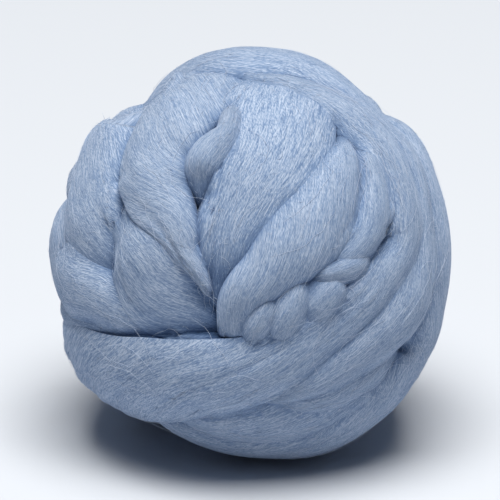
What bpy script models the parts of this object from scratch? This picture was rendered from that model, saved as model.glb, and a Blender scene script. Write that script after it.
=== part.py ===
"""Ball of wool roving: one combed length, loosely wound over itself, with its small twisted end
tucked into the front. Metres, +Z up. The origin is the middle of the flat spot it rests on."""

import math

import bmesh
import bpy
from mathutils import Vector

MM = 0.001

# The ball
MEAN_RADIUS = 76.0          # to the crest of an average winding
FOOT_RADIUS = 25.0          # of the flat spot under its own weight
CORE_RADIUS = 66.0          # of the wound middle, seen only at the bottom of the pits
FACE_TILT = math.radians(20)    # how far the front face, in which the end is tucked, looks up

# The roving: loose fibre keeps its section area, so it is thinner where it spreads
SECTION_AREA = 340.0        # mm2
THINNEST = 10.0
THICKEST = 16.0
CROWN = 2.2                 # how flat the section's crown is, 2 for a round one
EDGE = 0.7                  # how its sides run out, 0.5 for a full round side, 1 for a thin one
AROUND = 14                 # points round a section
STEP = 8.5                  # between sections along a strand

# Strands that show on the front face, the lowest first. A row is one place on the crest:
# right and up as seen on the face, side 1 on the front, 0 on the rim, -1 behind,
# rise of the crest over the mean radius, width of the strand. All in mm. The twisted end is
# one thin strand with four turns raised on it.
FRONT_STRANDS = {
    "left_under": [
        (-66, -14, -1, -8, 18), (-71, -25, 1, -1, 24), (-64, -29, 1, -2, 22),
        (-54, -32, 1, -4, 18), (-43, -35, 1, -9, 12)],
    "left_top": [
        (-38, 60, -1, -12, 18), (-43, 56, 1, -7, 22), (-46, 47, 1, -7, 24), (-47, 37, 1, -9, 18),
        (-47, 28, 1, -14, 12)],
    "left_side": [
        (-44, 59, -1, -13, 14), (-51, 53, 1, -5, 24), (-56, 46.5, 1, 1, 32),
        (-60.5, 34, 1, 0, 37), (-63, 22, 1, 0, 39), (-63, 12, 1, 0, 38), (-61.5, 3, 1, -1.5, 34),
        (-59, -5, 1, -4, 27), (-55, -13, 1, -8, 18), (-51, -20, 1, -13, 10)],
    "left_low": [
        (-66, 22, -1, -8, 18), (-74.5, 7, 1, 0, 26), (-73.5, -4, 1, 0, 31), (-70, -11, 1, 1, 32),
        (-65, -15, 1, 1, 29), (-60, -18, 1, 0, 26), (-55, -22, 1, -1, 24), (-48, -27, 1, -3, 20),
        (-41, -31, 1, -6, 17), (-34, -36, 1, -11, 13)],
    "left_gap": [
        (-66, -30, 1, -9, 14), (-58, -36, 1, -2, 16), (-46, -39, 1, -2, 16),
        (-32, -41, 1, -3.5, 17), (-18, -42.5, 1, -5.5, 18), (-4, -43, 1, -8, 17),
        (8, -41, 1, -13, 12)],
    "right_rim": [
        (30, 58, -1, -14, 14), (42, 54, -1, -5, 26), (56, 48, -1, -1.5, 28), (66, 33, 1, 1, 30),
        (71, 14, 1, 1, 32), (72, -5, 1, 1, 32), (71, -20, 1, 1, 32), (66, -34, 1, 3, 30),
        (60, -42, 1, 1, 22), (54, -46, 1, -12, 14)],
    "low_outer": [
        (66, -22, 1, -4, 24), (64, -36, 1, 2, 30), (55, -49, 1, 4, 34), (42, -60, 1, 5, 34),
        (26, -69, 1, 6, 34), (8, -73, 1, 4, 32), (-10, -73, 1, 2, 30), (-28, -68, 1, -1, 28),
        (-42, -60, 1, -3, 26), (-48, -48, -1, -4, 26), (-44, -30, -1, -6, 24),
        (-34, -14, -1, -15, 16)],
    "low_inner": [
        (52, -33, 1, -8, 20), (46, -51, 1, 1, 30), (31, -61, 1, 2, 32), (11, -66, 1, 2, 32),
        (-8, -67, 1, 1, 30), (-25, -64, 1, -2, 26), (-39, -58, 1, -5, 22),
        (-50, -48, 1, -10, 16)],
    "low_left": [
        (-46, -50, 1, -6, 16), (-34, -59, 1, -3, 18), (-19, -62, 1, -1, 18),
        (-5, -60, 1, -1, 18), (9, -57, 1, -4, 14)],
    "lap": [
        (58, -36, 1, -4, 16), (50, -42, 1, 1, 20), (42, -49, 1, 2, 24), (32, -54, 1, 2, 24),
        (21, -57, 1, 1, 20), (10, -57, 1, -2, 15), (0, -57, 1, -7, 9)],
    "fan": [
        (12, 70, 1, -5, 26), (12, 62, 1, -1, 40), (12, 53, 1, 1, 44), (11, 43, 1, 1, 44),
        (8, 33, 1, 1, 41), (3.5, 24, 1, 0, 38), (-1, 16, 1, -2, 35), (-5.5, 8, 1, -3.5, 33),
        (-8, 1, 1, -4.5, 31), (-9.5, -6, 1, -6, 28), (-11, -13, 1, -8, 24),
        (-12, -20, 1, -10, 19), (-12, -26, 1, -13, 13)],
    "right_small": [
        (42, 48, 1, -9, 8), (44, 42, 1, -4, 10), (45, 35, 1, 0, 12), (46.5, 27, 1, 1, 15),
        (46.5, 17, 1, 2, 18), (44, 8, 1, 2, 18), (39, 1, 1, 1, 16.5), (33.5, -4, 1, -1, 14),
        (28, -8, 1, -6, 9)],
    "right_lobe": [
        (38, 51, 1, -9, 8), (37, 44, 1, -4, 10), (36.5, 36, 1, 0, 16), (34, 27.5, 1, 2, 21),
        (29, 17, 1, 3, 26), (22.5, 7, 1, 3, 29), (16, 0.5, 1, 3, 27), (7.5, -8.5, 1, 2, 22),
        (-1, -16, 1, 1, 18), (-5, -22.5, 1, -1, 16), (-6.5, -28, 1, -2.5, 14),
        (-7.5, -34, 1, -5, 12), (-8, -39, 1, -10, 9)],
    "small_strand": [
        (-6, 58, 1, -7, 9), (-7, 52, 1, 1, 10), (-8.5, 44.5, 1, 3, 11), (-11.5, 41, 1, 3, 14),
        (-15.5, 37, 1, 3, 16), (-19, 31.5, 1, 2, 14), (-20, 26.5, 1, -3, 11),
        (-20, 21, 1, -8, 8), (-19, 16, 1, -13, 7)],
    "left_lobe_low": [
        (-47, 22, 1, -10, 14), (-46, 14, 1, -3, 22), (-42, 5, 1, 0, 33), (-39, -2, 1, 0, 39),
        (-37, -10, 1, -1.5, 40), (-32, -19, 1, -4, 38), (-24, -26, 1, -7, 28),
        (-16, -31, 1, -9.5, 17), (-9, -35, 1, -12, 12), (-3, -38, 1, -15, 10)],
    "left_lobe": [
        (-10, 73, 1, -10, 24), (-15, 68, 1, -2, 34), (-23, 59.5, 1, 1, 38),
        (-30.5, 49, 1, 3, 35), (-36.5, 37.5, 1, 3, 32), (-37.5, 29, 1, 3.5, 30.5),
        (-36, 22, 1, 3, 28), (-32.5, 16, 1, 2, 23), (-29.5, 11, 1, 1.5, 18.5),
        (-27, 5.5, 1, 1, 14), (-25.5, 0.5, 1, 0.5, 10), (-23, -4, 1, 0, 8),
        (-20.5, -8.5, 1, -1, 6.5), (-18.5, -13, 1, -3, 5), (-17, -18, 1, -7, 4)],
    "top_band": [
        (-44, 34, -1, -14, 16), (-46, 46, -1, -8, 24), (-36, 62, -1, -4, 28),
        (-18, 71, 0, 0, 29), (0, 73.5, 1, 2.5, 32), (19, 70.5, 1, 2.5, 32), (37, 61, 1, 0.5, 27),
        (50, 49, 1, 0, 21), (58, 38, 1, 2, 18), (63, 26, 1, 1.5, 17), (65, 14, 1, 1, 18),
        (66, 2, 1, 1, 21), (64, -11, 1, 2, 27), (59, -22, 1, 3, 30), (50, -32, 1, 3, 28),
        (38, -41, 1, 2, 24), (24, -49, 1, 2, 20), (9, -55, 1, 0, 14), (-5, -57, 1, -6, 9)],
    "front_band": [
        (-4, 69, 1, -5, 12), (8, 66, 1, -1, 14), (22, 61.5, 1, 0.5, 17), (34, 55, 1, 1.5, 21),
        (44.5, 46, 1, 2, 25), (51.5, 36, 1, 2.5, 23), (56, 25, 1, 2.5, 22), (58.5, 13, 1, 2, 25),
        (58, 1, 1, 1, 21), (52, -9, 1, 1, 24), (46, -18, 1, 1, 25), (38, -27, 1, 0, 27),
        (27, -35, 1, 0, 29), (12, -42.5, 1, 2, 31), (-5, -48, 1, 3, 32), (-22, -50, 1, 3, 36),
        (-38, -50.5, 1, 3, 42), (-52, -49, 1, 3, 46), (-62, -46, 1, 3, 43),
        (-59, -39, -1, 2, 40), (-47, -31, -1, -4, 30), (-34, -24, -1, -14, 18)],
    "twisted_end": [
        (48, 4.5, 1, -8, 9), (42, -2.5, 1, -2, 12), (35, -8, 1, -1, 13), (27, -14, 1, -1, 15),
        (18, -20.5, 1, -1, 15), (9, -26, 1, -1, 14), (3, -30, 1, -3, 12), (-2, -34, 1, -8, 8)],
    "turn_4": [
        (11.5, -15, 1, -8, 8), (8, -20, 1, -1, 12), (4.5, -25.5, 1, 0.5, 14.5),
        (1.5, -31, 1, -0.5, 13.5), (-1.5, -36.5, 1, -5, 9)],
    "turn_3": [
        (23, -8.5, 1, -8, 9), (19, -13.5, 1, -0.5, 13.5), (16, -20, 1, 1.5, 16.5),
        (13, -26, 1, 1.5, 16), (10.5, -31.5, 1, -0.5, 12.5), (8.5, -36, 1, -7, 8)],
    "turn_2": [
        (37, -7, 1, -7, 10), (33, -11.5, 1, 0.5, 14), (29, -17, 1, 1.5, 18),
        (24.5, -22.5, 1, 0.5, 15.5), (20, -28, 1, -4, 10)],
    "turn_1": [
        (47, 3, 1, -9, 9), (43.5, -2, 1, -1, 12), (38.5, -5.5, 1, 1, 14), (32.5, -7.5, 1, 1, 12),
        (27, -9, 1, 0, 9), (22, -11, 1, -6, 7)],
}

# Windings round the back, the lowest first: slope of the winding as seen from the front (degrees),
# its distance from the middle of the back, how far its middle bows aside, rise and width.
BACK_WINDINGS = [
    (25, -60, 4, 2, 30), (25, -38, -3, -1, 31), (25, -15, 3, -1, 30), (25, 8, -4, 0, 31),
    (25, 31, 3, -1, 30), (25, 54, -3, -2, 30),
    (-38, -48, 5, 2, 30), (-38, -20, -4, 2, 31), (-38, 10, 5, 0, 32), (-38, 40, -5, 1, 30),
    (82, -34, 6, 1, 28), (70, 22, -7, 4, 32)]
BACK_REACH = 101            # degrees each way from the middle of the back to a winding's end
BACK_STATIONS = 9
END_TUCK = 12.0             # how far a winding's end dips under the windings beside it
END_NARROWING = 0.4         # of its width
END_SHARE = 6               # exponent that keeps both of these to its last part
BOW_WAVES = 1.7             # how fast the bow dies away from its middle

RIGHT = Vector((1, 0, 0))
UP = Vector((0, math.sin(FACE_TILT), math.cos(FACE_TILT)))
NEAR = Vector((0, -math.cos(FACE_TILT), math.sin(FACE_TILT)))
CENTRE = Vector((0, 0, math.sqrt(MEAN_RADIUS ** 2 - FOOT_RADIUS ** 2)))


def clear_scene():
    """Remove every object that the file opened with."""
    for item in list(bpy.data.objects):
        bpy.data.objects.remove(item, do_unlink=True)


def new_collection(name):
    """Add a collection to the scene."""
    collection = bpy.data.collections.new(name)
    bpy.context.scene.collection.children.link(collection)
    return collection


def wool():
    """Pale blue combed wool."""
    material = bpy.data.materials.new("wool")
    material.use_nodes = True
    shader = material.node_tree.nodes["Principled BSDF"]
    shader.inputs["Base Color"].default_value = (0.33, 0.43, 0.62, 1)
    shader.inputs["Roughness"].default_value = 0.95
    shader.inputs["Metallic"].default_value = 0.0
    return material


def direction(right, up, side):
    """Unit direction from the ball's centre to a place as seen on the front face."""
    near = side * math.sqrt(max(0.0, MEAN_RADIUS ** 2 - right ** 2 - up ** 2))
    return (RIGHT * right + UP * up + NEAR * near).normalized()


def stations_from_rows(rows):
    """A strand's rows as (point on the crest, width), in mm from the ball's centre."""
    stations = []
    for right, up, side, rise, width in rows:
        crest = direction(right, up, side) * (MEAN_RADIUS + rise)
        stations.append((crest, width))
    return stations


def stations_of_winding(slope, offset, bow, rise, width):
    """A winding over the back, on a small circle that bows aside in its middle."""
    slope = math.radians(slope)
    along = RIGHT * math.cos(slope) + UP * math.sin(slope)
    aside = UP * math.cos(slope) - RIGHT * math.sin(slope)
    stations = []
    for index in range(BACK_STATIONS):
        turn = 2 * index / (BACK_STATIONS - 1) - 1
        angle = math.radians(BACK_REACH) * turn
        place = offset + bow * math.cos(angle * BOW_WAVES)
        ring = math.sqrt(MEAN_RADIUS ** 2 - place ** 2)
        outward = aside * place + along * ring * math.sin(angle) - NEAR * ring * math.cos(angle)
        end = abs(turn) ** END_SHARE
        crest = outward.normalized() * (MEAN_RADIUS + rise - END_TUCK * end)
        stations.append((crest, width * (1 - END_NARROWING * end)))
    return stations


def spline(before, start, end, after, t):
    """Catmull-Rom value between start and end, of numbers or vectors."""
    return 0.5 * (2 * start + (end - before) * t
                  + (2 * before - 5 * start + 4 * end - after) * t ** 2
                  + (3 * start - before - 3 * end + after) * t ** 3)


def resample(stations):
    """Smooth stations about a step apart, kept at the height that the rows give."""
    smooth = []
    last = len(stations) - 1
    for index in range(last):
        near_four = [stations[min(max(index + k, 0), last)] for k in (-1, 0, 1, 2)]
        length = (stations[index + 1][0] - stations[index][0]).length
        pieces = max(1, round(length / STEP))
        for piece in range(pieces):
            t = piece / pieces
            point = spline(*[place for place, width in near_four], t)
            height = spline(*[place.length for place, width in near_four], t)
            width = spline(*[width for place, width in near_four], t)
            smooth.append((point.normalized() * height, width))
    smooth.append(stations[last])
    return smooth


def section(width):
    """Outline of the strand's section as (across, out) pairs, out measured from the crest."""
    thickness = min(max(SECTION_AREA * 4 / (math.pi * width), THINNEST), THICKEST)
    outline = []
    for index in range(AROUND):
        angle = 2 * math.pi * index / AROUND
        across = math.cos(angle)
        out = math.sin(angle)
        if out > 0:
            out = (1 - abs(across) ** CROWN) ** EDGE
        drape = (across * width / 2) ** 2 / (2 * MEAN_RADIUS)
        outline.append((across * width / 2, (out - 1) * thickness / 2 - drape))
    return outline


def strand(name, stations, collection):
    """A closed tube lofted through the sections of one strand."""
    smooth = resample(stations)
    bm = bmesh.new()
    rings = []
    for index, (crest, width) in enumerate(smooth):
        before = smooth[max(index - 1, 0)][0]
        after = smooth[min(index + 1, len(smooth) - 1)][0]
        outward = crest.normalized()
        across = (after - before).cross(outward).normalized()
        ring = []
        for aside, out in section(width):
            point = crest + across * aside + outward * out
            ring.append(bm.verts.new((CENTRE + point) * MM))
        rings.append(ring)
    for ring, following in zip(rings, rings[1:]):
        for index in range(AROUND):
            beside = (index + 1) % AROUND
            bm.faces.new((ring[index], ring[beside], following[beside], following[index]))
    bm.faces.new(rings[0])
    bm.faces.new(rings[-1])
    bmesh.ops.recalc_face_normals(bm, faces=bm.faces)
    bmesh.ops.triangulate(bm, faces=bm.faces)
    mesh = bpy.data.meshes.new(name)
    bm.to_mesh(mesh)
    bm.free()
    tube = bpy.data.objects.new(name, mesh)
    collection.objects.link(tube)
    hide_from_build(tube)


def hide_from_build(item):
    """Mark a guide or a cutter."""
    item.hide_render = True
    item.display_type = "WIRE"


def core(collection):
    """The wound middle of the ball."""
    bm = bmesh.new()
    bmesh.ops.create_icosphere(bm, subdivisions=3, radius=CORE_RADIUS * MM)
    bmesh.ops.translate(bm, verts=bm.verts, vec=CENTRE * MM)
    mesh = bpy.data.meshes.new("core")
    bm.to_mesh(mesh)
    bm.free()
    ball = bpy.data.objects.new("core", mesh)
    collection.objects.link(ball)
    return ball


def floor_cutter(collection):
    """A block whose top is the plane that the ball rests on."""
    side = 4 * MEAN_RADIUS * MM
    bpy.ops.mesh.primitive_cube_add(size=side, location=(0, 0, -side / 2))
    block = bpy.context.object
    block.name = "floor_cutter"
    for other in list(block.users_collection):
        other.objects.unlink(block)
    collection.objects.link(block)
    hide_from_build(block)
    return block


def add_boolean(target, operation, cutter=None, collection=None):
    """An exact Boolean modifier with one object or a whole collection."""
    modifier = target.modifiers.new(operation.lower(), "BOOLEAN")
    modifier.operation = operation
    modifier.solver = "EXACT"
    if collection:
        modifier.operand_type = "COLLECTION"
        modifier.collection = collection
    else:
        modifier.object = cutter


def outer_body(source, name):
    """The evaluated solid without the small closed hollows left between the strands."""
    graph = bpy.context.evaluated_depsgraph_get()
    mesh = bpy.data.meshes.new_from_object(source.evaluated_get(graph))
    bm = bmesh.new()
    bm.from_mesh(mesh)
    left = set(bm.verts)
    bodies = []
    while left:
        body = set()
        front = [left.pop()]
        while front:
            vert = front.pop()
            body.add(vert)
            for edge in vert.link_edges:
                other = edge.other_vert(vert)
                if other in left:
                    left.remove(other)
                    front.append(other)
        bodies.append(body)
    outer = max(bodies, key=len)
    inner = [vert for vert in bm.verts if vert not in outer]
    bmesh.ops.delete(bm, geom=inner, context="VERTS")
    bm.to_mesh(mesh)
    bm.free()
    mesh.name = name
    return bpy.data.objects.new(name, mesh)


clear_scene()
part = new_collection("wool_roving")
windings = new_collection("windings")
cutters = new_collection("cutters")

for winding, values in enumerate(BACK_WINDINGS):
    strand("back_%02d" % winding, stations_of_winding(*values), windings)
for name, rows in FRONT_STRANDS.items():
    strand(name, stations_from_rows(rows), windings)

wound = core(cutters)
add_boolean(wound, "UNION", collection=windings)
roving_ball = outer_body(wound, "roving_ball")
part.objects.link(roving_ball)
hide_from_build(wound)
add_boolean(roving_ball, "DIFFERENCE", cutter=floor_cutter(cutters))
roving_ball.data.materials.clear()
roving_ball.data.materials.append(wool())
roving_ball.data.shade_smooth()
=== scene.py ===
import math

import bpy
import numpy as np
from mathutils import Matrix, Vector
from mathutils.bvhtree import BVHTree


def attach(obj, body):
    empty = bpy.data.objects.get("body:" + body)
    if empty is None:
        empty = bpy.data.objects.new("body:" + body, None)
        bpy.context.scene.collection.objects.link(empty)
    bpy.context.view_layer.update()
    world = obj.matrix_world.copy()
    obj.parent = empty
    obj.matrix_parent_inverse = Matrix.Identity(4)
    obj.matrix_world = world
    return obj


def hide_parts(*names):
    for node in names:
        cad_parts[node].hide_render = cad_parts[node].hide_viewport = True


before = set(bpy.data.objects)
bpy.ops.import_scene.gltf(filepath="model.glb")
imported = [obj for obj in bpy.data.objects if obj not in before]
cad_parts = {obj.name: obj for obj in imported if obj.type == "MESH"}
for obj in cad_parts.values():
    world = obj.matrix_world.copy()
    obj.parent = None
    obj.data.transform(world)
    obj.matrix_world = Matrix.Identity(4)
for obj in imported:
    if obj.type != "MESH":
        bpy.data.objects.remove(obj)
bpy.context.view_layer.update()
MM = 0.001


# ---------------------------------------------------------------------------------------------
# Camera, floor and light. The photograph looks at the ball's front face square on, from above;
# a wide soft light hangs over the ball, so its top is pale and its underside falls into shade.

MEAN_RADIUS = 76.0 * MM         # of the ball, to the crest of an average winding
FOOT_RADIUS = 25.0 * MM         # of the flat spot that it rests on
FACE_TILT = math.radians(20)    # how far the front face looks up
RIGHT = np.array((1.0, 0.0, 0.0))
UP = np.array((0.0, math.sin(FACE_TILT), math.cos(FACE_TILT)))
NEAR = np.array((0.0, -math.cos(FACE_TILT), math.sin(FACE_TILT)))
CENTRE = np.array((0.0, 0.0, math.sqrt(MEAN_RADIUS ** 2 - FOOT_RADIUS ** 2)))

PICTURE_WIDTH = 187.0 * MM      # that the photograph shows at the ball's distance
CAMERA_DISTANCE = 3.0
SENSOR_WIDTH = 36.0             # mm
AIM_RIGHT, AIM_UP = -0.2 * MM, 0.55 * MM    # the ball sits a little off the picture's middle

camera = bpy.data.objects.new("camera", bpy.data.cameras.new("camera"))
bpy.context.scene.collection.objects.link(camera)
camera.data.sensor_width = SENSOR_WIDTH
camera.data.lens = SENSOR_WIDTH * CAMERA_DISTANCE / PICTURE_WIDTH
camera.data.clip_end = 20.0
aim = CENTRE + RIGHT * AIM_RIGHT + UP * AIM_UP
turn = Matrix((RIGHT, UP, NEAR)).transposed().to_4x4()
camera.matrix_world = Matrix.Translation(aim + NEAR * CAMERA_DISTANCE) @ turn
bpy.context.scene.camera = camera
bpy.context.scene.view_settings.view_transform = "Standard"


def linear(hex_colour):
    """An sRGB hex colour as linear red, green, blue and alpha."""
    parts = [int(hex_colour[i:i + 2], 16) / 255 for i in (1, 3, 5)]
    return [p / 12.92 if p <= 0.04045 else ((p + 0.055) / 1.055) ** 2.4 for p in parts] + [1.0]


FLOOR_SIZE, FLOOR_GAP = 8.0, 0.3 * MM       # the gap keeps it clear of the flat spot
FLOOR_GREY, SKY_BLUE = "#c7cbd2", "#d3e2fb"

bpy.ops.object.select_all(action="DESELECT")
bpy.ops.mesh.primitive_plane_add(size=FLOOR_SIZE, location=(0, 0, -FLOOR_GAP))
floor = bpy.context.object
floor.name = "floor"
paper = bpy.data.materials.new("matt_paper")
paper.use_nodes = True
surface = paper.node_tree.nodes["Principled BSDF"]
surface.inputs["Base Color"].default_value = linear(FLOOR_GREY)
surface.inputs["Roughness"].default_value = 0.9
floor.data.materials.append(paper)

LAMP_PLACE = Vector((0.05, -0.65, 3.45))
bpy.ops.object.light_add(type="AREA", location=LAMP_PLACE)
lamp = bpy.context.object
lamp.name = "softbox"
lamp.data.size = 2.4
lamp.data.energy = 214.0
lamp.data.color = (1.0, 0.985, 0.945)
lamp.rotation_euler = (LAMP_PLACE - Vector(CENTRE)).to_track_quat("Z", "Y").to_euler()

world = bpy.data.worlds.new("studio")
world.use_nodes = True
sky = world.node_tree.nodes["Background"]
sky.inputs["Color"].default_value = linear(SKY_BLUE)
sky.inputs["Strength"].default_value = 0.12
bpy.context.scene.world = world


# ---------------------------------------------------------------------------------------------
# The windings round the back. The ball is one length of combed roving, a loose untwisted rope of
# fibre, wound by hand over itself; each stretch of it that shows is a strand of its own here.

SECTION_AREA = 340.0 * MM ** 2  # the roving keeps it, so it is thinner where it spreads
THINNEST, THICKEST = 10.0 * MM, 16.0 * MM
CROWN = 2.2                     # how flat a section's crown is, 2 for a round one
OPEN_WIDTH = 28.0 * MM          # of an average strand, to which its fibres are spread
STEP = 2.6 * MM                 # between sections
TOP_POINTS, UNDER_POINTS = 44, 8    # round a section, outer and inner half
CORE_RADIUS = 63.0 * MM         # of the wound middle, under all strands
BACK_REACH = 101                # degrees each way from the middle of the back to an end
BACK_STATIONS = 9
BOW_WAVES = 1.7                 # how fast a winding's bow dies away from its middle
END_TUCK = 12.0                 # mm that its ends dip under the windings beside them
END_NARROWING = 0.4             # of its width there
END_SHARE = 6                   # exponent that keeps both to its last part
CURVE_POINTS = 40               # for each row of a table, in the curve that stations lie on

# the fibre bundles of a strand: width, length and height, mm
BUNDLES = ((9.0, 90, 0.35), (4.2, 60, 0.28), (2.0, 40, 0.16))
BUNDLE_LEVEL = 0.6              # part of their height that lies under the strand's surface
BUNDLE_ASIDE = 0.5              # how much of their height they also stand out sideways
SIDE_BUNDLES = 0.3              # how far down its sides they still show
MEANDER, MEANDER_LONG, MEANDER_WIDE = 0.9 * MM, 20 * MM, 7 * MM     # of its fibres
UNEVEN, UNEVEN_LONG = 0.07, 24 * MM     # of its width
SWELL, SWELL_LONG = 0.6 * MM, 30 * MM   # of its crest

# how a strand settles on those below: the share of its half width where its side begins to
# settle and over which it does, the lengths at its ends, and how deep its edge sinks and dives
SIDE_FROM, SIDE_OVER, EDGE_OVER = 0.4, 0.25, 0.12
END_FULL, END_RUN, TIP_RUN = 1.5, 9 * MM, 3 * MM
SINK, DIVE = 0.3, 0.85

# slope seen from the front (degrees), distance from the middle of the back, bow, rise, width (mm)
BACK_WINDINGS = [
    (25, -60, 4, 2, 30), (25, -38, -3, -1, 31), (25, -15, 3, -1, 30), (25, 8, -4, 0, 31),
    (25, 31, 3, -1, 30), (25, 54, -3, -2, 30),
    (-38, -48, 5, 2, 30), (-38, -20, -4, 2, 31), (-38, 10, 5, 0, 32), (-38, 40, -5, 1, 30),
    (82, -34, 6, 1, 28), (70, 22, -7, 4, 32)]

rng = np.random.default_rng(41)
CELLS = 256
LATTICE = rng.uniform(-1, 1, (CELLS, CELLS))
SEED_STEP = (17.3, 31.7)        # cells by which the noise moves on for each seed
MAP_APART = 0.11                # metres between two strands' maps, so that no streaks repeat
OUTSIDE = 0.2                   # metres from the centre, clear of the ball
strands = []                    # every strand's outer surface, on which its fibres are laid
woollen = []                    # the pieces made of strands


def noise(x, y, seed=0):
    """Smooth noise from -1 to 1 on a square lattice of cell 1, moved on for another seed."""
    x, y = x + SEED_STEP[0] * seed, y + SEED_STEP[1] * seed
    i, j = np.floor(x).astype(int), np.floor(y).astype(int)
    fx, fy = x - i, y - j
    fx, fy = fx * fx * (3 - 2 * fx), fy * fy * (3 - 2 * fy)

    def at(di, dj):
        return LATTICE[(i + di) % CELLS, (j + dj) % CELLS]

    low = at(0, 0) * (1 - fx) + at(1, 0) * fx
    high = at(0, 1) * (1 - fx) + at(1, 1) * fx
    return low * (1 - fy) + high * fy


def on_ball(rows):
    """Crest points from the ball's centre and widths, from rows as seen on the front face."""
    right, up, side, rise, width = np.array(rows, float).T
    near = side * np.sqrt(np.maximum(0.0, (MEAN_RADIUS / MM) ** 2 - right ** 2 - up ** 2))
    way = np.outer(right, RIGHT) + np.outer(up, UP) + np.outer(near, NEAR)
    way /= np.linalg.norm(way, axis=1)[:, None]
    return way * (MEAN_RADIUS + rise[:, None] * MM), width * MM


def round_back(slope, offset, bow, rise, width):
    """Crest points and widths of a winding over the back, both ends tucked in at the rim."""
    slope = math.radians(slope)
    along = RIGHT * math.cos(slope) + UP * math.sin(slope)
    aside = UP * math.cos(slope) - RIGHT * math.sin(slope)
    part = np.linspace(-1, 1, BACK_STATIONS)
    angle = math.radians(BACK_REACH) * part
    place = (offset + bow * np.cos(angle * BOW_WAVES)) * MM
    ring = np.sqrt(MEAN_RADIUS ** 2 - place ** 2)
    way = (np.outer(place, aside) + np.outer(ring * np.sin(angle), along)
           - np.outer(ring * np.cos(angle), NEAR))
    way /= np.linalg.norm(way, axis=1)[:, None]
    end = abs(part) ** END_SHARE
    height = MEAN_RADIUS + (rise - END_TUCK * end) * MM
    return way * height[:, None], width * (1 - END_NARROWING * end) * MM


def spline(values, t):
    """Catmull-Rom curve through values at the places t, counted in values."""
    last = len(values) - 1
    i = np.clip(np.floor(t).astype(int), 0, last - 1)
    before, start, end, after = (values[np.clip(i + k, 0, last)] for k in (-1, 0, 1, 2))
    f = (t - i).reshape((-1,) + (1,) * (values.ndim - 1))
    return 0.5 * (2 * start + (end - before) * f
                  + (2 * before - 5 * start + 4 * end - after) * f ** 2
                  + (3 * start - before - 3 * end + after) * f ** 3)


def even_stations(crest, width, step):
    """The crest line and widths again, with stations evenly spaced."""
    t = np.linspace(0, len(crest) - 1, CURVE_POINTS * len(crest))
    heights = np.linalg.norm(crest, axis=1)
    line = spline(crest, t)
    line *= (spline(heights, t) / np.linalg.norm(line, axis=1))[:, None]
    length = np.r_[0, np.cumsum(np.linalg.norm(np.diff(line, axis=0), axis=1))]
    count = max(4, round(length[-1] / step) + 1)
    at = np.interp(np.linspace(0, length[-1], count), length, t)
    line = spline(crest, at)
    line *= (spline(heights, at) / np.linalg.norm(line, axis=1))[:, None]
    return line, spline(width, at), np.linspace(0, length[-1], count)


def graded(values, along):
    """One number, or several evenly spaced from a strand's start to its end, at its stations."""
    values = np.atleast_1d(values)
    return np.interp(along / along[-1], np.linspace(0, 1, len(values)), values)


def bundles(across, along, seed):
    """Relief of the fibre bundles in a strand: rounded ridges with narrow furrows between."""
    relief = np.zeros_like(across)
    for wide, long, high in BUNDLES:
        n = noise(across / (wide * MM), along / (long * MM), seed + wide)
        relief += high * MM * (np.sqrt(np.abs(n)) - BUNDLE_LEVEL)
    return relief


def cover():
    """Search tree of the outer surfaces of all strands laid so far."""
    points, faces, start = [], [], 0
    for strand in strands:
        rings = len(strand["along"])
        index = start + np.arange(rings * TOP_POINTS).reshape(rings, TOP_POINTS)
        faces += np.stack((index[:-1, :-1], index[:-1, 1:], index[1:, 1:], index[1:, :-1]),
                          -1).reshape(-1, 4).tolist()
        points.append(strand["points"].reshape(-1, 3))
        start += rings * TOP_POINTS
    return BVHTree.FromPolygons(np.concatenate(points).tolist(), faces)


def outer_radius(tree, ways):
    """Distance of the ball's outermost surface from its centre, along unit vectors."""
    centre = Vector(CENTRE)
    reach = np.full(len(ways), CORE_RADIUS)
    for k, way in enumerate(ways.tolist()):
        way = Vector(way)
        hit = tree.ray_cast(centre + way * OUTSIDE, -way)[0]
        if hit:
            reach[k] = max(CORE_RADIUS, (hit - centre).length)
    return reach


def settle(points, x, along, blend):
    """Let a strand's sides and ends run out softly on what lies under them, over a band of
    blend mm, one number or one a side; the crest stays and the very edge dives under."""
    from_centre = points - CENTRE
    radius = np.linalg.norm(from_centre, axis=-1)
    ways = from_centre / radius[..., None]
    below = outer_radius(cover(), ways.reshape(-1, 3)).reshape(radius.shape)
    blend = np.where(x > 0, *np.broadcast_to(blend, 2)) * MM
    above = radius - below
    fillet = np.clip(blend - np.abs(above), 0, None) ** 2 / (4 * blend)
    sunk = SINK * np.clip(-above - blend / 2, 0, blend / 2)
    raised = np.where(above > 0, radius, below) + fillet - sunk
    deep = np.where(above < -blend, radius + blend * DIVE, raised)
    from_end = np.minimum(along, along[-1] - along)[:, None]
    share = np.maximum(np.clip((np.abs(x) - SIDE_FROM) / SIDE_OVER, 0, 1),
                       np.clip(END_FULL - from_end / END_RUN, 0, 1))
    share = share * np.clip((1 - np.abs(x)) / EDGE_OVER, 0, 1) * np.clip(from_end / TIP_RUN, 0, 1)
    return CENTRE + ways * (radius + (deep - radius) * share)[..., None]


# The pit and crease blues are painted shade, which the crease depth puts into the pits and
# creases; the deep and pale blues are the wool's own darker and paler tones.
PIT_SHADE_BLUE, CREASE_SHADE_BLUE, DEEP_BLUE, PALE_BLUE = "#28405f", "#40597f", "#7188aa", "#b1bed2"
CREASE_SHADE_AT, DEEP_AT, PALE_AT = 0.18, 0.44, 0.63      # places of the blues, the painted pit shade's is 0
SHEEN_BLUE = "#b4c6e2"

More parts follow.
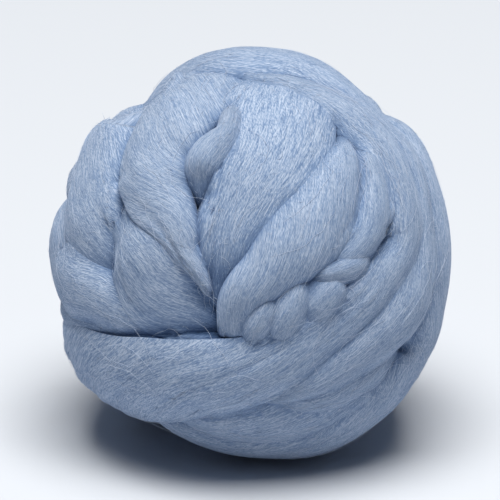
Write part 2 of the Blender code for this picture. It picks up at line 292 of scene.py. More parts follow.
# how unevenly the fibre took the dye, each as width and length in mm and slant in degrees. A
# real fibre is 0.03 mm thick; the streaks are drawn ten times as wide, so that they show.
STREAKS = ((0.29, 11, 3), (0.27, 7, -4))
DARK_LINES = ((1.3, 17, 2), (0.8, 10, -3))
GRAIN = (0.30, 1.4, 12)
TONES = (5.0, 50, 0)
STREAK_SHARE, GRAIN_SHARE, LINE_SHARE, TONE_SHARE = 0.52, 0.36, 0.055, 0.06
FINE_OFFSET = -0.075            # brings the sum of these to the middle of the blues
CREASE_SHADE_SHARE = -0.24            # painted shade: takes it down to the deep blues in the creases, the more the deeper they lie
LINE_SHARPNESS = 20.0
FIBRE_RELIEF = 0.45 * MM        # height of the streaks, in the bump alone


def wool_top():
    """Combed wool top, dyed pale blue in the fibre: matt, with a soft bloom from loose ends.
    Fine streaks run along the fibre, as neighbouring bundles took the dye a little unevenly.
    Down in the creases and pits the blue is painted deeper, as painted shade that grows with the
    crease depth."""
    if "combed_wool_top" in bpy.data.materials:
        return bpy.data.materials["combed_wool_top"]
    material = bpy.data.materials.new("combed_wool_top")
    material.use_nodes = True
    tree = material.node_tree
    shader = tree.nodes["Principled BSDF"]

    def add(kind, settings=(), inputs=(), links=()):
        node = tree.nodes.new(kind)
        for name, value in dict(settings).items():
            setattr(node, name, value)
        for name, value in dict(inputs).items():
            node.inputs[name].default_value = value
        for name, source in dict(links).items():
            tree.links.new(source, node.inputs[name])
        return node

    def wave(wide, long, slant):
        """Noise in cells of a width and length in mm, at a slant in degrees to the fibre."""
        place = add("ShaderNodeMapping", {"vector_type": "TEXTURE"},
                    {"Scale": (wide * MM, long * MM, 1), "Rotation": (0, 0, math.radians(slant))},
                    {"Vector": fibre.outputs["UV"]})
        return add("ShaderNodeTexNoise", {"noise_dimensions": "2D"},
                   {"Scale": 1.0, "Detail": 2.0, "Roughness": 0.55, "Distortion": 0.4},
                   {"Vector": place.outputs["Vector"]}).outputs["Fac"]

    def sum_of(first, second, kind="ADD", third=None):
        node = add("ShaderNodeMath", {"operation": kind})
        for socket, value in zip(node.inputs, (first, second, third)):
            if isinstance(value, (int, float)):
                socket.default_value = value
            elif value:
                tree.links.new(value, socket)
        return node.outputs["Value"]

    fibre = add("ShaderNodeUVMap", {"uv_map": "fibre"})
    streaks = sum_of(wave(*STREAKS[0]), wave(*STREAKS[1]), "MAXIMUM")
    gaps = None                 # thin dark lines between fibres, where a wave crosses its mean
    for size in DARK_LINES:
        away = sum_of(sum_of(wave(*size), 0.5, "SUBTRACT"), 0, "ABSOLUTE")
        gap = sum_of(sum_of(away, LINE_SHARPNESS, "MULTIPLY"), 1.0, "MINIMUM")
        gaps = sum_of(gaps, gap) if gaps else gap
    grain = sum_of(wave(*GRAIN), GRAIN_SHARE, "MULTIPLY")
    fine = sum_of(streaks, STREAK_SHARE, "MULTIPLY_ADD", grain)
    fine = sum_of(gaps, LINE_SHARE, "MULTIPLY_ADD", fine)
    tones = sum_of(wave(*TONES), TONE_SHARE, "MULTIPLY_ADD", sum_of(fine, FINE_OFFSET))
    # painted shade: the deeper a place lies in a crease, the darker its blue
    crease_shade = add("ShaderNodeAttribute", {"attribute_name": "crease_shade"})
    painted_shade = sum_of(crease_shade.outputs["Fac"], CREASE_SHADE_SHARE, "MULTIPLY_ADD", tones)
    ramp = add("ShaderNodeValToRGB", links={"Fac": painted_shade})
    blues = ramp.color_ramp.elements
    blues[0].position, blues[1].position = 0.0, PALE_AT
    blues[0].color, blues[1].color = linear(PIT_SHADE_BLUE), linear(PALE_BLUE)
    blues.new(CREASE_SHADE_AT).color = linear(CREASE_SHADE_BLUE)
    blues.new(DEEP_AT).color = linear(DEEP_BLUE)
    bump = add("ShaderNodeBump", inputs={"Strength": 1.0, "Distance": FIBRE_RELIEF},
               links={"Height": fine})
    tree.links.new(ramp.outputs["Color"], shader.inputs["Base Color"])
    tree.links.new(bump.outputs["Normal"], shader.inputs["Normal"])
    shader.inputs["Roughness"].default_value = 0.85
    shader.inputs["Specular IOR Level"].default_value = 0.25
    shader.inputs["Sheen Weight"].default_value = 0.42
    shader.inputs["Sheen Roughness"].default_value = 0.45
    shader.inputs["Sheen Tint"].default_value = linear(SHEEN_BLUE)
    return material


def loft(crest, width, twist=0, depth=1.0, edges=(0.7, 0.7), blend=2.0):
    """Points and fibre coordinates of one strand, ring by ring. twist is the slant of its
    fibres in degrees and depth the strength of its bundles, each one number or several from
    its start to its end, as are edges, 0.5 for a full round edge and 1 for a thin one."""
    line, wide, along = even_stations(crest, width, STEP)
    number = len(strands)
    out = line / np.linalg.norm(line, axis=1)[:, None]
    aside = np.cross(np.gradient(line, axis=0), out)
    aside /= np.linalg.norm(aside, axis=1)[:, None]
    thick = np.clip(SECTION_AREA * 4 / (math.pi * wide), THINNEST, THICKEST)
    slant = np.tan(np.radians(graded(twist, along)))
    shift = np.r_[0, np.cumsum((slant[1:] + slant[:-1]) / 2 * np.diff(along))]

    top = np.linspace(0, math.pi, TOP_POINTS)
    under = np.linspace(math.pi, 2 * math.pi, UNDER_POINTS + 2)[1:-1]
    x, s = np.meshgrid(np.cos(np.r_[top, under]), along)
    power = np.where(x > 0, *(graded(edge, along)[:, None] for edge in edges))
    z = np.maximum(1 - np.abs(x) ** CROWN, 0) ** power
    z[:, TOP_POINTS:] = np.sin(under)
    over = x * OPEN_WIDTH / 2 + shift[:, None]
    over = over + MEANDER * noise(s / MEANDER_LONG, over / MEANDER_WIDE, number + 0.5)
    shows = np.clip(z + SIDE_BUNDLES, 0, 1)
    relief = bundles(over, s, number) * graded(depth, along)[:, None] * shows
    uneven = 1 + UNEVEN * noise(s / UNEVEN_LONG, np.sign(x) * 5.5, number)
    swell = SWELL * noise(s / SWELL_LONG, x * 0.7 + 9.5, number) * np.clip(z, 0, 1)
    half = wide[:, None] / 2 * uneven
    sideways = x * (half + relief * BUNDLE_ASIDE)
    outward = ((z - 1) * thick[:, None] / 2 + shows * relief + swell
               - (x * half) ** 2 / (2 * MEAN_RADIUS))
    points = (CENTRE + line[:, None] + aside[:, None] * sideways[..., None]
              + out[:, None] * outward[..., None])
    if strands:
        points[:, :TOP_POINTS] = settle(points[:, :TOP_POINTS], x[:, :TOP_POINTS], along, blend)
    points[..., 2] = np.maximum(points[..., 2], 0.0)
    strands.append({"points": points[:, :TOP_POINTS], "along": along, "width": wide,
                    "shift": shift, "x": x[0, :TOP_POINTS]})
    return points, over, s + MAP_APART * number


def belongs(piece):
    """Add a piece to the ball, in place of its solid."""
    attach(piece, "root")
    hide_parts("roving_ball")


def lay(name, *lofts):
    """One piece of one or more strands, each closed at both ends."""
    points, coordinates, faces, start = [], [], [], 0
    for grid, over, s in lofts:
        rings, around = over.shape
        index = start + np.arange(rings * around).reshape(rings, around)
        beside = np.roll(index, -1, axis=1)
        sides = np.stack((index[:-1], beside[:-1], beside[1:], index[1:]), -1)
        faces += sides.reshape(-1, 4).tolist()
        faces += [index[0, ::-1].tolist(), index[-1].tolist()]
        points.append(grid.reshape(-1, 3))
        coordinates.append(np.stack((over, s), -1).reshape(-1, 2))
        start += rings * around
    mesh = bpy.data.meshes.new(name)
    mesh.from_pydata(np.concatenate(points).tolist(), [], faces)
    corner = np.empty(len(mesh.loops), int)
    mesh.loops.foreach_get("vertex_index", corner)
    uv = np.concatenate(coordinates)[corner].ravel()
    mesh.uv_layers.new(name="fibre").data.foreach_set("uv", uv)
    mesh.materials.append(wool_top())
    mesh.shade_smooth()
    piece = bpy.data.objects.new(name, mesh)
    bpy.context.scene.collection.objects.link(piece)
    normals = np.empty(len(mesh.vertices) * 3)
    mesh.vertex_normals.foreach_get("vector", normals)
    normals, start = normals.reshape(-1, 3), 0
    for strand, (grid, over, s) in zip(strands[-len(lofts):], lofts):
        strand["normals"] = normals[start:start + over.size].reshape(grid.shape)[:, :TOP_POINTS]
        start += over.size
    belongs(piece)
    woollen.append(piece)


lay("back_windings_under", *[loft(*round_back(*values), twist=8) for values in BACK_WINDINGS[:6]])
lay("back_windings_over", *[loft(*round_back(*values), twist=8) for values in BACK_WINDINGS[6:]])


# ---------------------------------------------------------------------------------------------
# The wound middle, on which all strands lie. The inside of the ball never shows, so this is
# taken to be the first turns of the same roving. It is seen only as the bottom of the pits.

CORE_SEGMENTS, CORE_RINGS = 64, 32
CORE_ROUND = 0.4                # metres round it, to which its map is stretched

bpy.ops.object.select_all(action="DESELECT")
bpy.ops.mesh.primitive_uv_sphere_add(segments=CORE_SEGMENTS, ring_count=CORE_RINGS,
                                     radius=CORE_RADIUS, location=CENTRE)
bpy.ops.object.transform_apply(location=True)
core = bpy.context.object
core.name = "wound_middle"
core.data.uv_layers[0].name = "fibre"
uv = np.empty(len(core.data.loops) * 2)
core.data.uv_layers["fibre"].data.foreach_get("uv", uv)
core.data.uv_layers["fibre"].data.foreach_set("uv", uv * CORE_ROUND)
core.data.materials.append(wool_top())
core.data.shade_smooth()
belongs(core)
woollen.append(core)


# ---------------------------------------------------------------------------------------------
# The left side, where older windings of the roving come round from the back and dive under the
# front ones, which hold them down.

# A row is one place on a strand's crest: right and up as seen on the face, side 1 front, 0 rim,
# -1 behind, rise over the mean radius, width of the strand, all in mm.

LEFT_UNDER = [
    (-66, -14, -1, -8, 18), (-71, -25, 1, -1, 24), (-64, -29, 1, -2, 22), (-54, -32, 1, -4, 18),
    (-43, -35, 1, -9, 12)]
LEFT_LOW = [
    (-66, 22, -1, -8, 18), (-74.5, 7, 1, 0, 26), (-73.5, -4, 1, 0, 31), (-70, -11, 1, 1, 32),
    (-65, -15, 1, 1, 29), (-60, -18, 1, 0, 26), (-55, -22, 1, -1, 24), (-48, -27, 1, -3, 20),
    (-41, -31, 1, -6, 17), (-34, -36, 1, -11, 13)]
LEFT_SIDE = [
    (-44, 59, -1, -13, 14), (-51, 53, 1, -5, 24), (-56, 46.5, 1, 1, 32), (-60.5, 34, 1, 0, 37),
    (-63, 22, 1, 0, 39), (-63, 12, 1, 0, 38), (-61.5, 3, 1, -1.5, 34), (-59, -5, 1, -4, 27),
    (-55, -13, 1, -8, 18), (-51, -20, 1, -13, 10)]
LEFT_TOP = [
    (-38, 60, -1, -12, 18), (-43, 56, 1, -7, 22), (-46, 47, 1, -7, 24), (-47, 37, 1, -9, 18),
    (-47, 28, 1, -14, 12)]
LEFT_GAP = [
    (-66, -30, 1, -9, 14), (-58, -36, 1, -2, 16), (-46, -39, 1, -2, 16), (-32, -41, 1, -3.5, 17),
    (-18, -42.5, 1, -5.5, 18), (-4, -43, 1, -8, 17), (8, -41, 1, -13, 12)]

lay("left_windings", loft(*on_ball(LEFT_UNDER)),
    loft(*on_ball(LEFT_TOP)), loft(*on_ball(LEFT_SIDE), twist=(5, 25), edges=(0.6, 0.8)),
    loft(*on_ball(LEFT_LOW), twist=(0, 8), edges=(0.6, 0.55)), loft(*on_ball(LEFT_GAP), blend=4))


# ---------------------------------------------------------------------------------------------
# The right rim and the underside: windings of the roving that lie under the broad band and show
# beyond its edge, with one that laps over them at the lower right.

RIGHT_RIM = [
    (30, 58, -1, -14, 14), (42, 54, -1, -5, 26), (56, 48, -1, -1.5, 28), (66, 33, 1, 1, 30),
    (71, 14, 1, 1, 32), (72, -5, 1, 1, 32), (71, -20, 1, 1, 32), (66, -34, 1, 3, 30),
    (60, -42, 1, 1, 22), (54, -46, 1, -12, 14)]
LOW_OUTER = [
    (66, -22, 1, -4, 24), (64, -36, 1, 2, 30), (55, -49, 1, 4, 34), (42, -60, 1, 5, 34),
    (26, -69, 1, 6, 34), (8, -73, 1, 4, 32), (-10, -73, 1, 2, 30), (-28, -68, 1, -1, 28),
    (-42, -60, 1, -3, 26), (-48, -48, -1, -4, 26), (-44, -30, -1, -6, 24),
    (-34, -14, -1, -15, 16)]
LOW_INNER = [
    (52, -33, 1, -8, 20), (46, -51, 1, 1, 30), (31, -61, 1, 2, 32), (11, -66, 1, 2, 32),
    (-8, -67, 1, 1, 30), (-25, -64, 1, -2, 26), (-39, -58, 1, -5, 22), (-50, -48, 1, -10, 16)]
LOW_LEFT = [
    (-46, -50, 1, -6, 16), (-34, -59, 1, -3, 18), (-19, -62, 1, -1, 18), (-5, -60, 1, -1, 18),
    (9, -57, 1, -4, 14)]
LAP = [
    (58, -36, 1, -4, 16), (50, -42, 1, 1, 20), (42, -49, 1, 2, 24), (32, -54, 1, 2, 24),
    (21, -57, 1, 1, 20), (10, -57, 1, -2, 15), (0, -57, 1, -7, 9)]

lay("right_rim", loft(*on_ball(RIGHT_RIM), twist=6))
lay("low_windings", loft(*on_ball(LOW_OUTER), twist=14, depth=1.5),
    loft(*on_ball(LOW_INNER), twist=12, depth=2, blend=3),
    loft(*on_ball(LOW_LEFT), twist=6, blend=3), loft(*on_ball(LAP), twist=(25, -10), depth=1.5))


# ---------------------------------------------------------------------------------------------
# The fan: one stretch of roving, spread wide as it comes from under the broad band. It narrows
# again as it falls into the pit in the middle of the face, between the two lobes.

FAN = [
    (12, 70, 1, -5, 26), (12, 62, 1, -1, 40), (12, 53, 1, 1, 44), (11, 43, 1, 1, 44),
    (8, 33, 1, 1, 41), (3.5, 24, 1, 0, 38), (-1, 16, 1, -2, 35), (-5.5, 8, 1, -3.5, 33),
    (-8, 1, 1, -4.5, 31), (-9.5, -6, 1, -6, 28), (-11, -13, 1, -8, 24), (-12, -20, 1, -10, 19),
    (-12, -26, 1, -13, 13)]

lay("fan", loft(*on_ball(FAN), twist=(-8, 4), depth=1.6, edges=(0.6, 0.9)))


# ---------------------------------------------------------------------------------------------
# The lobe at the right of the pit: a thick strand, turned a little about itself and tucked in
# under the broad band, with a smaller strand beside it at the right.

RIGHT_SMALL = [
    (42, 48, 1, -9, 8), (44, 42, 1, -4, 10), (45, 35, 1, 0, 12), (46.5, 27, 1, 1, 15),
    (46.5, 17, 1, 2, 18), (44, 8, 1, 2, 18), (39, 1, 1, 1, 16.5), (33.5, -4, 1, -1, 14),
    (28, -8, 1, -6, 9)]
RIGHT_LOBE = [
    (38, 51, 1, -9, 8), (37, 44, 1, -4, 10), (36.5, 36, 1, 0, 16), (34, 27.5, 1, 2, 21),
    (29, 17, 1, 3, 26), (22.5, 7, 1, 3, 29), (16, 0.5, 1, 3, 27), (7.5, -8.5, 1, 2, 22),
    (-1, -16, 1, 1, 18), (-5, -22.5, 1, -1, 16), (-6.5, -28, 1, -2.5, 14),
    (-7.5, -34, 1, -5, 12), (-8, -39, 1, -10, 9)]

lay("right_lobe", loft(*on_ball(RIGHT_SMALL), twist=8, depth=0.6, blend=5),
    loft(*on_ball(RIGHT_LOBE), twist=(10, 28, 20), edges=(0.6, (0.9, 0.65, 0.5, 0.5)),
         blend=(2, 3)))


# ---------------------------------------------------------------------------------------------
# A small strand, a thin part of the same roving. It comes out over the fan, curls, and slips
# down into the pit behind the left lobe.

SMALL_STRAND = [
    (-6, 58, 1, -7, 9), (-7, 52, 1, 1, 10), (-8.5, 44.5, 1, 3, 11), (-11.5, 41, 1, 3, 14),
    (-15.5, 37, 1, 3, 16), (-19, 31.5, 1, 2, 14), (-20, 26.5, 1, -3, 11), (-20, 21, 1, -8, 8),
    (-19, 16, 1, -13, 7)]

lay("small_strand", loft(*on_ball(SMALL_STRAND), twist=4, depth=0.6, edges=(0.55, 0.65)))


# ---------------------------------------------------------------------------------------------
# The large lobe at the left: two stretches of roving that turn once about each other as they
# come down, the upper one thinning out to a tail on the lower, which goes into the pit.

LEFT_LOBE_LOW = [
    (-47, 22, 1, -10, 14), (-46, 14, 1, -3, 22), (-42, 5, 1, 0, 33), (-39, -2, 1, 0, 39),
    (-37, -10, 1, -1.5, 40), (-32, -19, 1, -4, 38), (-24, -26, 1, -7, 28),
    (-16, -31, 1, -9.5, 17), (-9, -35, 1, -12, 12), (-3, -38, 1, -15, 10)]
LEFT_LOBE = [
    (-10, 73, 1, -10, 24), (-15, 68, 1, -2, 34), (-23, 59.5, 1, 1, 38), (-30.5, 49, 1, 3, 35),
    (-36.5, 37.5, 1, 3, 32), (-37.5, 29, 1, 3.5, 30.5), (-36, 22, 1, 3, 28),
    (-32.5, 16, 1, 2, 23), (-29.5, 11, 1, 1.5, 18.5), (-27, 5.5, 1, 1, 14),
    (-25.5, 0.5, 1, 0.5, 10), (-23, -4, 1, 0, 8), (-20.5, -8.5, 1, -1, 6.5),
    (-18.5, -13, 1, -3, 5), (-17, -18, 1, -7, 4)]

lay("left_lobe", loft(*on_ball(LEFT_LOBE_LOW), twist=14, edges=(0.6, 0.7), blend=(4, 3)),
    loft(*on_ball(LEFT_LOBE), twist=(42, 42, 34, 15), edges=(0.9, 0.55), blend=(8, 1.5)))


# ---------------------------------------------------------------------------------------------
# The broad band: two strands that come over the top and the right rim, spread, and sweep
# across the lower front to the left, over everything but the twisted end.

TOP_BAND = [
    (-44, 34, -1, -14, 16), (-46, 46, -1, -8, 24), (-36, 62, -1, -4, 28), (-18, 71, 0, 0, 29),
    (0, 73.5, 1, 2.5, 32), (19, 70.5, 1, 2.5, 32), (37, 61, 1, 0.5, 27), (50, 49, 1, 0, 21),
    (58, 38, 1, 2, 18), (63, 26, 1, 1.5, 17), (65, 14, 1, 1, 18), (66, 2, 1, 1, 21),
    (64, -11, 1, 2, 27), (59, -22, 1, 3, 30), (50, -32, 1, 3, 28), (38, -41, 1, 2, 24),
    (24, -49, 1, 2, 20), (9, -55, 1, 0, 14), (-5, -57, 1, -6, 9)]
FRONT_BAND = [
    (-4, 69, 1, -5, 12), (8, 66, 1, -1, 14), (22, 61.5, 1, 0.5, 17), (34, 55, 1, 1.5, 21),
    (44.5, 46, 1, 2, 25), (51.5, 36, 1, 2.5, 23), (56, 25, 1, 2.5, 22), (58.5, 13, 1, 2, 25),
    (58, 1, 1, 1, 21), (52, -9, 1, 1, 24), (46, -18, 1, 1, 25), (38, -27, 1, 0, 27),
    (27, -35, 1, 0, 29), (12, -42.5, 1, 2, 31), (-5, -48, 1, 3, 32), (-22, -50, 1, 3, 36),
    (-38, -50.5, 1, 3, 42), (-52, -49, 1, 3, 46), (-62, -46, 1, 3, 43), (-59, -39, -1, 2, 40),
    (-47, -31, -1, -4, 30), (-34, -24, -1, -14, 18)]

lay("broad_band", loft(*on_ball(TOP_BAND), twist=(-3, 0, 10), depth=(1, 1, 1.2, 2)),
    loft(*on_ball(FRONT_BAND), twist=(-4, 0, 8, 22, 16),
         depth=(0.8, 0.8, 1, 2.5, 4.5, 3, 1.5), edges=(0.9, 0.6), blend=(4, 1.5)))


# ---------------------------------------------------------------------------------------------
# The end of the roving, twisted small between the fingers and tucked in under the right lobe.
# Each of its four turns is a short thick lobe that rises from one side and sinks at the other.

TWISTED_END = [
    (48, 4.5, 1, -8, 9), (42, -2.5, 1, -2, 12), (35, -8, 1, -1, 13), (27, -14, 1, -1, 15),
    (18, -20.5, 1, -1, 15), (9, -26, 1, -1, 14), (3, -30, 1, -3, 12), (-2, -34, 1, -8, 8)]
TURN_1 = [
    (47, 3, 1, -9, 9), (43.5, -2, 1, -1, 12), (38.5, -5.5, 1, 1, 14), (32.5, -7.5, 1, 1, 12),
    (27, -9, 1, 0, 9), (22, -11, 1, -6, 7)]
TURN_2 = [
    (37, -7, 1, -7, 10), (33, -11.5, 1, 0.5, 14), (29, -17, 1, 1.5, 18),
    (24.5, -22.5, 1, 0.5, 15.5), (20, -28, 1, -4, 10)]
TURN_3 = [
    (23, -8.5, 1, -8, 9), (19, -13.5, 1, -0.5, 13.5), (16, -20, 1, 1.5, 16.5),
    (13, -26, 1, 1.5, 16), (10.5, -31.5, 1, -0.5, 12.5), (8.5, -36, 1, -7, 8)]
TURN_4 = [
    (11.5, -15, 1, -8, 8), (8, -20, 1, -1, 12), (4.5, -25.5, 1, 0.5, 14.5),
    (1.5, -31, 1, -0.5, 13.5), (-1.5, -36.5, 1, -5, 9)]

lay("twisted_end", *[loft(*on_ball(rows), depth=0.6, edges=(0.7, 0.7), blend=(1, 2))
                     for rows in (TWISTED_END, TURN_4, TURN_3, TURN_2, TURN_1)])


# ---------------------------------------------------------------------------------------------
# How deep each place lies in the creases, from 0 on a crest to about 2, as the wool's attribute,
# which paints shade into the creases and pits. It is the height of the ball's surface there under
# the average of its surroundings.

MAP_REACH, MAP_STEP = 1.95, 0.013    # radians each way from the middle of a side, per cell
SURROUNDINGS = (2.5, 5.0, 11.0)      # mm over which the surface is averaged
CREASE_DEPTH = 3.0 * MM
DEEPEST, CREASE_CURVE = 1.7, 1.3     # in crease depths, and the exponent that holds back dips

whole = cover()
cells = np.arange(-MAP_REACH, MAP_REACH, MAP_STEP)
maps = []
for facing in (1, -1):
    u, v = np.meshgrid(cells, cells, indexing="ij")
    off = np.hypot(u, v) + 1e-9
    ways = ((np.sin(off) / off * u)[..., None] * RIGHT + (np.sin(off) / off * v)[..., None] * UP
            + np.cos(off)[..., None] * NEAR * facing)
    heights = outer_radius(whole, ways.reshape(-1, 3)).reshape(u.shape)
    around = []
    for spread in SURROUNDINGS:
        reach = spread * MM / MEAN_RADIUS / MAP_STEP
        kernel = np.exp(-0.5 * (np.arange(-int(3 * reach), int(3 * reach) + 1) / reach) ** 2)
        kernel /= kernel.sum()
        soft = np.apply_along_axis(np.convolve, 0, heights, kernel, "same")
        around.append(np.apply_along_axis(np.convolve, 1, soft, kernel, "same"))
    maps.append(sum(around) / len(around))


def crease_depth(points):
    """How deep points lie in the creases, from 0 to about 2."""
    from_centre = points - CENTRE
    radius = np.linalg.norm(from_centre, axis=-1)
    way = from_centre / radius[:, None]
    front = way @ NEAR > 0
    off = np.arccos(np.clip(np.abs(way @ NEAR), 0, 1))
    ring = np.hypot(way @ RIGHT, way @ UP) + 1e-9
    i = np.clip((off * (way @ RIGHT) / ring + MAP_REACH) / MAP_STEP, 0, len(cells) - 2)
    j = np.clip((off * (way @ UP) / ring + MAP_REACH) / MAP_STEP, 0, len(cells) - 2)
    a, b, fa, fb = i.astype(int), j.astype(int), i % 1, j % 1
    found = []
    for soft in maps:
        found.append((soft[a, b] * (1 - fa) + soft[a + 1, b] * fa) * (1 - fb)
                     + (soft[a, b + 1] * (1 - fa) + soft[a + 1, b + 1] * fa) * fb)
    depth = (np.where(front, *found) - radius) / CREASE_DEPTH
    return np.clip(depth, 0, DEEPEST) ** CREASE_CURVE


# the crease depth, stored on each piece for the painted shade in the wool's colour
for piece in woollen:
    places = np.empty(len(piece.data.vertices) * 3)
    piece.data.vertices.foreach_get("co", places)
    crease_shade = piece.data.attributes.new("crease_shade", "FLOAT", "POINT")
    crease_shade.data.foreach_set("value", crease_depth(places.reshape(-1, 3)))


# ---------------------------------------------------------------------------------------------
# The nap: single fibres that lie on the strands and follow them, in three lots from the pale
# crests to the deep creases; the lots are darker with the crease depth, so their colour is partly
# painted shade and partly random. A real fibre is 0.03 mm thick; these are thicker, so that they
# show.

# colour, number of fibres, from the crests down; the darker lots are painted shade for the fibres
# that lie deeper in the creases
NAP = {"nap_pale": ("#c2cee0", 7000), "nap_mid_shade": ("#8fa3c2", 4000), "nap_deep_shade": ("#58739c", 5000)}
FIBRE_RADIUS = 0.06 * MM
FIBRE_LENGTH = (8 * MM, 26 * MM)
FIBRE_WAVE = (0.1 * MM, 0.7 * MM)
FIBRE_CYCLES = (0.5, 1.4)       # of its wave
FIBRE_POINTS = 6
FIBRE_TAPER = 0.4               # of its radius, from the middle to the ends
LIFT, CLEAR = (0.0, 0.5 * MM), 0.04 * MM    # of its middle off the strand, and of all of it
WANDER = math.tan(math.radians(7))          # from the strand's own fibres
NAP_ACROSS = 0.97               # of the strand's half width
BURIED = 0.9 * MM               # a fibre deeper than this under another strand is left out
TRIES = 3.2                     # for each fibre wanted, since most lie under other strands
MINGLE = 0.8                    # how far the three lots mix, in crease depths


def on_strand(strand, x, s):
    """Points and normals on a strand's outer surface, at x across (-1 to 1) and s along."""
    row = np.interp(s, strand["along"], np.arange(len(strand["along"])))
    column = np.interp(-x, -strand["x"], np.arange(TOP_POINTS))
    r = np.clip(row.astype(int), 0, len(strand["along"]) - 2)
    c = np.clip(column.astype(int), 0, TOP_POINTS - 2)
    fr, fc = (row - r)[..., None], (column - c)[..., None]
    found = []
    for grid in (strand["points"], strand["normals"]):
        low = grid[r, c] * (1 - fc) + grid[r, c + 1] * fc
        high = grid[r + 1, c] * (1 - fc) + grid[r + 1, c + 1] * fc
        found.append(low * (1 - fr) + high * fr)
    return found


def nap_lines(strand, count):
    """Centre lines of fibres that lie on one strand, as many as show out of count tries."""
    length = rng.uniform(*FIBRE_LENGTH, count)
    middle = rng.uniform(0, strand["along"][-1], count)
    x = rng.uniform(-NAP_ACROSS, NAP_ACROSS, count)
    slope = rng.normal(0, WANDER, count)
    lift = rng.uniform(*LIFT, count)
    step = np.linspace(-0.5, 0.5, FIBRE_POINTS)
    s = middle[:, None] + step * length[:, None]
    turned = np.interp(s, strand["along"], strand["shift"])
    turned -= np.interp(middle, strand["along"], strand["shift"])[:, None]
    wave = rng.uniform(*FIBRE_WAVE, count) * rng.choice((-1, 1), count)
    cycles, phase = rng.uniform(*FIBRE_CYCLES, count), rng.uniform(0, 2 * math.pi, count)
    turned += (s - middle[:, None]) * slope[:, None]
    turned += wave[:, None] * np.sin(2 * math.pi * step * cycles[:, None] + phase[:, None])
    place = x[:, None] - turned / (OPEN_WIDTH / 2)
    points, normals = on_strand(strand, np.clip(place, -1, 1), s)
    arch = lift[:, None] * (1 - (2 * step) ** 2) + CLEAR
    points = points + normals * arch[..., None]
    inside = np.flatnonzero((s.min(1) > 0) & (s.max(1) < strand["along"][-1])
                            & (np.abs(place).max(1) < 1))
    points = points[inside]
    checked = points[:, (1, FIBRE_POINTS // 2, FIBRE_POINTS - 2)] - CENTRE
    radius = np.linalg.norm(checked, axis=2)
    ways = (checked / radius[..., None]).reshape(-1, 3)
    outer = outer_radius(whole, ways).reshape(radius.shape)
    return points[((outer - radius) < BURIED).all(1)]


def tubes(name, lines, radius, colour):
    """Three-sided closed tapered tubes along the lines, as one piece. A single fibre is the
    same dyed wool as the strands, a little smoother to the eye, in one plain colour."""
    count, steps = lines.shape[:2]
    ahead = np.gradient(lines, axis=1)
    side = np.cross(ahead, lines - CENTRE)
    side /= np.linalg.norm(side, axis=2)[..., None] + 1e-12
    rise = np.cross(side, ahead)
    rise /= np.linalg.norm(rise, axis=2)[..., None] + 1e-12
    taper = radius * (1 - FIBRE_TAPER * np.linspace(-1, 1, steps)[1:-1] ** 2)
    around = np.radians((90, 210, 330))[:, None]
    ring = side[:, 1:-1, None] * np.cos(around) + rise[:, 1:-1, None] * np.sin(around)
    body = lines[:, 1:-1, None] + ring * taper[:, None, None]
    points = np.concatenate((lines[:, :1], body.reshape(count, -1, 3), lines[:, -1:]), axis=1)
    points[..., 2] = np.maximum(points[..., 2], 0.0)
    each = points.shape[1]
    one = []
    for k in range(3):
        n = (k + 1) % 3
        one.append((0, 1 + k, 1 + n))
        for r in range(steps - 3):
            a, b = 1 + 3 * r, 4 + 3 * r
            one += [(a + k, b + k, b + n), (a + k, b + n, a + n)]
        one.append((each - 1, each - 4 + n, each - 4 + k))
    faces = (np.array(one)[None] + (np.arange(count) * each)[:, None, None]).reshape(-1, 3)
    mesh = bpy.data.meshes.new(name)
    mesh.vertices.add(count * each)
    mesh.vertices.foreach_set("co", points.ravel())
    mesh.loops.add(faces.size)
    mesh.loops.foreach_set("vertex_index", faces.ravel())
    mesh.polygons.add(len(faces))
    mesh.polygons.foreach_set("loop_start", np.arange(0, faces.size, 3))
    mesh.update(calc_edges=True)
    mesh.validate()
    mesh.shade_smooth()
    material = bpy.data.materials.new("wool_fibre_" + name)
    material.use_nodes = True
    shader = material.node_tree.nodes["Principled BSDF"]
    shader.inputs["Base Color"].default_value = linear(colour)
    shader.inputs["Roughness"].default_value = 0.75
    shader.inputs["Specular IOR Level"].default_value = 0.3
    shader.inputs["Sheen Weight"].default_value = 0.2
    mesh.materials.append(material)
    piece = bpy.data.objects.new(name, mesh)
    bpy.context.scene.collection.objects.link(piece)
    belongs(piece)


areas = np.array([s["width"].mean() * s["along"][-1] for s in strands])
total = sum(wanted for colour, wanted in NAP.values())
tries = (areas / areas.sum() * total * TRIES).astype(int)
lines = np.concatenate([nap_lines(s, n) for s, n in zip(strands, tries)])
rng.shuffle(lines)
lines = lines[:total]
# painted shade: fibres deeper in the creases go to the darker lots, mixed a little at random
depth = crease_depth(lines[:, FIBRE_POINTS // 2]) + rng.uniform(0, MINGLE, len(lines))
lines = lines[np.argsort(depth)]
for name, (colour, wanted) in NAP.items():
    tubes(name, lines[:wanted], FIBRE_RADIUS, colour)
    lines = lines[wanted:]


# ---------------------------------------------------------------------------------------------
# Loose fibres of the same wool, worked free as the roving is handled and wound: ends that stand
# off the surface as a short fuzz, and longer stray fibres that cross from strand to strand.

FUZZ = {"fuzz_pale": ("#c4d0e2", 8000), "fuzz_mid": ("#8ea3c3", 7000)}
FUZZ_RADIUS = 0.07 * MM
FUZZ_LENGTH = (3 * MM, 10 * MM)
FUZZ_HEIGHT = (0.3 * MM, 1.8 * MM)
FUZZ_LOWERED = (0.3, 1)         # share of that height, so that low ones are more common
FUZZ_POINTS, FUZZ_CLEAR = 6, 0.02 * MM
FUZZ_TURN = math.radians(32)    # from the strand's fibres
FUZZ_HOOK = 0.3                 # sideways bend, of its length
FUZZ_LYING = 0.7                # share with both ends down; the others stand up at one end
STANDING_CURVE = 1.5            # exponent of how these rise

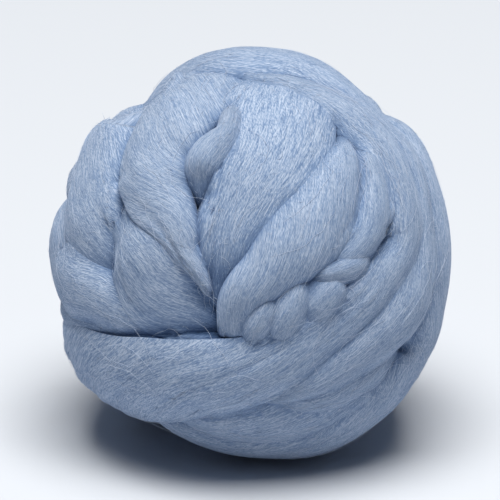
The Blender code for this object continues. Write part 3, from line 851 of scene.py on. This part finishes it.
STRAY_COLOUR, STRAY_COUNT = "#bfcbdf", 420
STRAY_RADIUS = 0.055 * MM
STRAY_LENGTH = (12 * MM, 34 * MM)
STRAY_POINTS, STRAY_TURN, STRAY_BOW = 10, math.radians(18), 0.16
STRAY_WAVE, STRAY_LIFT = 0.3 * MM, (0.05 * MM, 0.5 * MM)
STRAY_TAUT = 3                  # rounds of pulling it tight over the creases

ROOT_ALONG, ROOT_ACROSS = (0.03, 0.97), (-0.9, 0.9)     # where loose fibres start on a strand
ROOT_BURIED = 0.8 * MM


def roots(count):
    """Places spread over what shows of the ball: points, normals and fibre directions."""
    picked = rng.choice(len(strands), count, p=areas / areas.sum())
    found = []
    for k, strand in enumerate(strands):
        n = int((picked == k).sum())
        if n == 0:
            continue
        s = rng.uniform(*ROOT_ALONG, n) * strand["along"][-1]
        x = rng.uniform(*ROOT_ACROSS, n)
        point, normal = on_strand(strand, x, s)
        ahead = on_strand(strand, x, s + 1 * MM)[0] - on_strand(strand, x, s - 1 * MM)[0]
        ahead /= np.linalg.norm(ahead, axis=1)[:, None]
        found.append(np.stack((point, normal, ahead), axis=1))
    found = np.concatenate(found)
    from_centre = found[:, 0] - CENTRE
    radius = np.linalg.norm(from_centre, axis=1)
    shows = outer_radius(whole, from_centre / radius[:, None]) - radius < ROOT_BURIED
    found = found[shows]
    rng.shuffle(found)
    return found


def turned_by(ahead, normal, angle):
    """Directions turned about the normals by angles in radians."""
    return ahead * np.cos(angle)[:, None] + np.cross(normal, ahead) * np.sin(angle)[:, None]


def fuzz_lines(count):
    """Short fibres with both ends low and a free curve between, or one end standing up."""
    found = roots(int(count * TRIES))[:count]
    count = len(found)
    point, normal, ahead = found[:, 0], found[:, 1], found[:, 2]
    ahead = turned_by(ahead, normal, rng.normal(0, FUZZ_TURN, count))
    aside = np.cross(normal, ahead)
    length = rng.uniform(*FUZZ_LENGTH, count)
    height = rng.uniform(*FUZZ_HEIGHT, count) * rng.uniform(*FUZZ_LOWERED, count)
    hook = rng.normal(0, FUZZ_HOOK, count) * length
    lean = rng.uniform(0, 1, count)
    t = np.linspace(0, 1, FUZZ_POINTS)
    up = np.where(lean[:, None] < FUZZ_LYING, np.sin(math.pi * t), t ** STANDING_CURVE)
    up = up * height[:, None]
    run = (t - 0.5) * length[:, None]
    bend = hook[:, None] * (4 * t * (1 - t) - 0.5)
    return (point[:, None] + ahead[:, None] * run[..., None] + aside[:, None] * bend[..., None]
            + normal[:, None] * (up + FUZZ_CLEAR)[..., None])


def stray_lines(count):
    """Longer fibres laid over the outermost surface, bridging the creases."""
    found = roots(int(count * TRIES))[:count]
    count, steps = len(found), STRAY_POINTS
    point, normal, ahead = found[:, 0], found[:, 1], found[:, 2]
    ahead = turned_by(ahead, normal, rng.normal(0, STRAY_TURN, count))
    out = (point - CENTRE) / np.linalg.norm(point - CENTRE, axis=1)[:, None]
    ahead -= out * (ahead * out).sum(1)[:, None]
    ahead /= np.linalg.norm(ahead, axis=1)[:, None]
    aside = np.cross(out, ahead)
    length = rng.uniform(*STRAY_LENGTH, count)
    bow = rng.normal(0, STRAY_BOW, count) * length
    t = np.linspace(-0.5, 0.5, steps)
    wave = rng.normal(0, STRAY_WAVE, (count, steps))
    ways = (out[:, None] * MEAN_RADIUS + ahead[:, None] * (t * length[:, None])[..., None]
            + aside[:, None] * (bow[:, None] * (4 * t ** 2) + wave)[..., None])
    ways /= np.linalg.norm(ways, axis=2)[..., None]
    reach = outer_radius(whole, ways.reshape(-1, 3)).reshape(count, steps)
    level = reach.copy()
    for _ in range(STRAY_TAUT):
        middle = (level[:, :-2] + level[:, 2:]) / 2
        level[:, 1:-1] = np.maximum(level[:, 1:-1], middle)
    level += rng.uniform(*STRAY_LIFT, count)[:, None]
    return CENTRE + ways * level[..., None]


for name, (colour, wanted) in FUZZ.items():
    tubes(name, fuzz_lines(wanted), FUZZ_RADIUS, colour)
tubes("stray_fibres", stray_lines(STRAY_COUNT), STRAY_RADIUS, STRAY_COLOUR)
